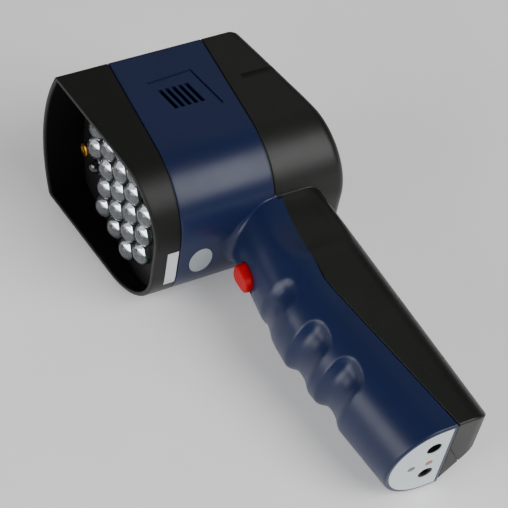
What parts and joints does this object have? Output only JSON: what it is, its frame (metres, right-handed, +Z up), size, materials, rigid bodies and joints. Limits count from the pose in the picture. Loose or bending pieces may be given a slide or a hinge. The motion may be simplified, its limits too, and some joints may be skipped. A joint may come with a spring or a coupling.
{
  "type": "handheld LED stroboscope",
  "caption": "Handheld LED stroboscope: hooded lamp head on a pistol grip with finger grooves, push trigger, rear display with keys, and sockets in the grip end.",
  "frame": {"origin": "bottom middle of the box round the tool as it lies on its right side", "axes": "-X along the light out of the hood, +Y from the grip end towards the top of the head, +Z up from the table, towards the left side of the tool"},
  "size_m": [0.0978, 0.2018, 0.0784],
  "materials": {
    "black_plastic": "satin black moulding",
    "blue_plastic": "satin navy moulding",
    "clear_lens": "clear moulded lens",
    "circuit_board": "green solder mask",
    "steel": "bright",
    "brass": "turned",
    "dark_lens": "dark tinted",
    "display_glass": "dark window",
    "display_body": "dull",
    "red_key": "matt",
    "grey_key": "matt",
    "red_plastic": "gloss red",
    "switch_plastic": "plain",
    "label_sheet": "pale plate",
    "red_lamp": "tinted",
    "green_lamp": "tinted",
    "cell_jacket": "printed jacket, left plain"
  },
  "bodies": {
    "housing": {"front_hood": "black_plastic", "front_shell": "blue_plastic", "rear_shell": "black_plastic", "led_plate": "black_plastic", "led_lenses": "clear_lens", "led_board": "circuit_board", "led_board_screws": "steel", "laser_module": "brass", "sensor_lens": "dark_lens", "display_window": "display_glass", "display_module": "display_body", "main_board": "circuit_board", "key_domes": "steel", "trigger_switch": "switch_plastic", "switch_board": "circuit_board", "end_label": "label_sheet", "power_jack": "switch_plastic", "signal_jack": "switch_plastic", "charge_lamp": "red_lamp", "ready_lamp": "green_lamp", "jack_board": "circuit_board", "battery_cells": "cell_jacket", "battery_tray": "switch_plastic", "battery_contacts": "steel", "housing_screws": "steel"},
    "trigger": {"trigger_button": "red_plastic"},
    "door": {"battery_door": "black_plastic"},
    "key_power_cap": {"key_power": "red_key"},
    "key_mode_cap": {"key_mode": "grey_key"},
    "key_up_cap": {"key_up": "grey_key"},
    "key_half_cap": {"key_half": "grey_key"},
    "key_double_cap": {"key_double": "grey_key"},
    "key_down_cap": {"key_down": "grey_key"}
  },
  "joints": [
    {"name": "trigger_press", "type": "slide", "parent": "housing", "child": "trigger", "axis": [1, 0, 0], "range_m": [0, 0.002], "stiffness_N_per_m": 500},
    {"name": "door_slide", "type": "slide", "parent": "housing", "child": "door", "axis": [0.0802, -0.9904, -0.1126], "range_m": [0, 0.012]},
    {"name": "key_power_press", "type": "slide", "parent": "housing", "child": "key_power_cap", "axis": [-0.9914, -0.1297, -0.0147], "range_m": [0, 0.0008], "stiffness_N_per_m": 400},
    {"name": "key_mode_press", "type": "slide", "parent": "housing", "child": "key_mode_cap", "axis": [-0.9914, -0.1297, -0.0147], "range_m": [0, 0.0008], "stiffness_N_per_m": 400},
    {"name": "key_up_press", "type": "slide", "parent": "housing", "child": "key_up_cap", "axis": [-0.9914, -0.1297, -0.0147], "range_m": [0, 0.0008], "stiffness_N_per_m": 400},
    {"name": "key_half_press", "type": "slide", "parent": "housing", "child": "key_half_cap", "axis": [-0.9914, -0.1297, -0.0147], "range_m": [0, 0.0008], "stiffness_N_per_m": 400},
    {"name": "key_double_press", "type": "slide", "parent": "housing", "child": "key_double_cap", "axis": [-0.9914, -0.1297, -0.0147], "range_m": [0, 0.0008], "stiffness_N_per_m": 400},
    {"name": "key_down_press", "type": "slide", "parent": "housing", "child": "key_down_cap", "axis": [-0.9914, -0.1297, -0.0147], "range_m": [0, 0.0008], "stiffness_N_per_m": 400}
  ]
}
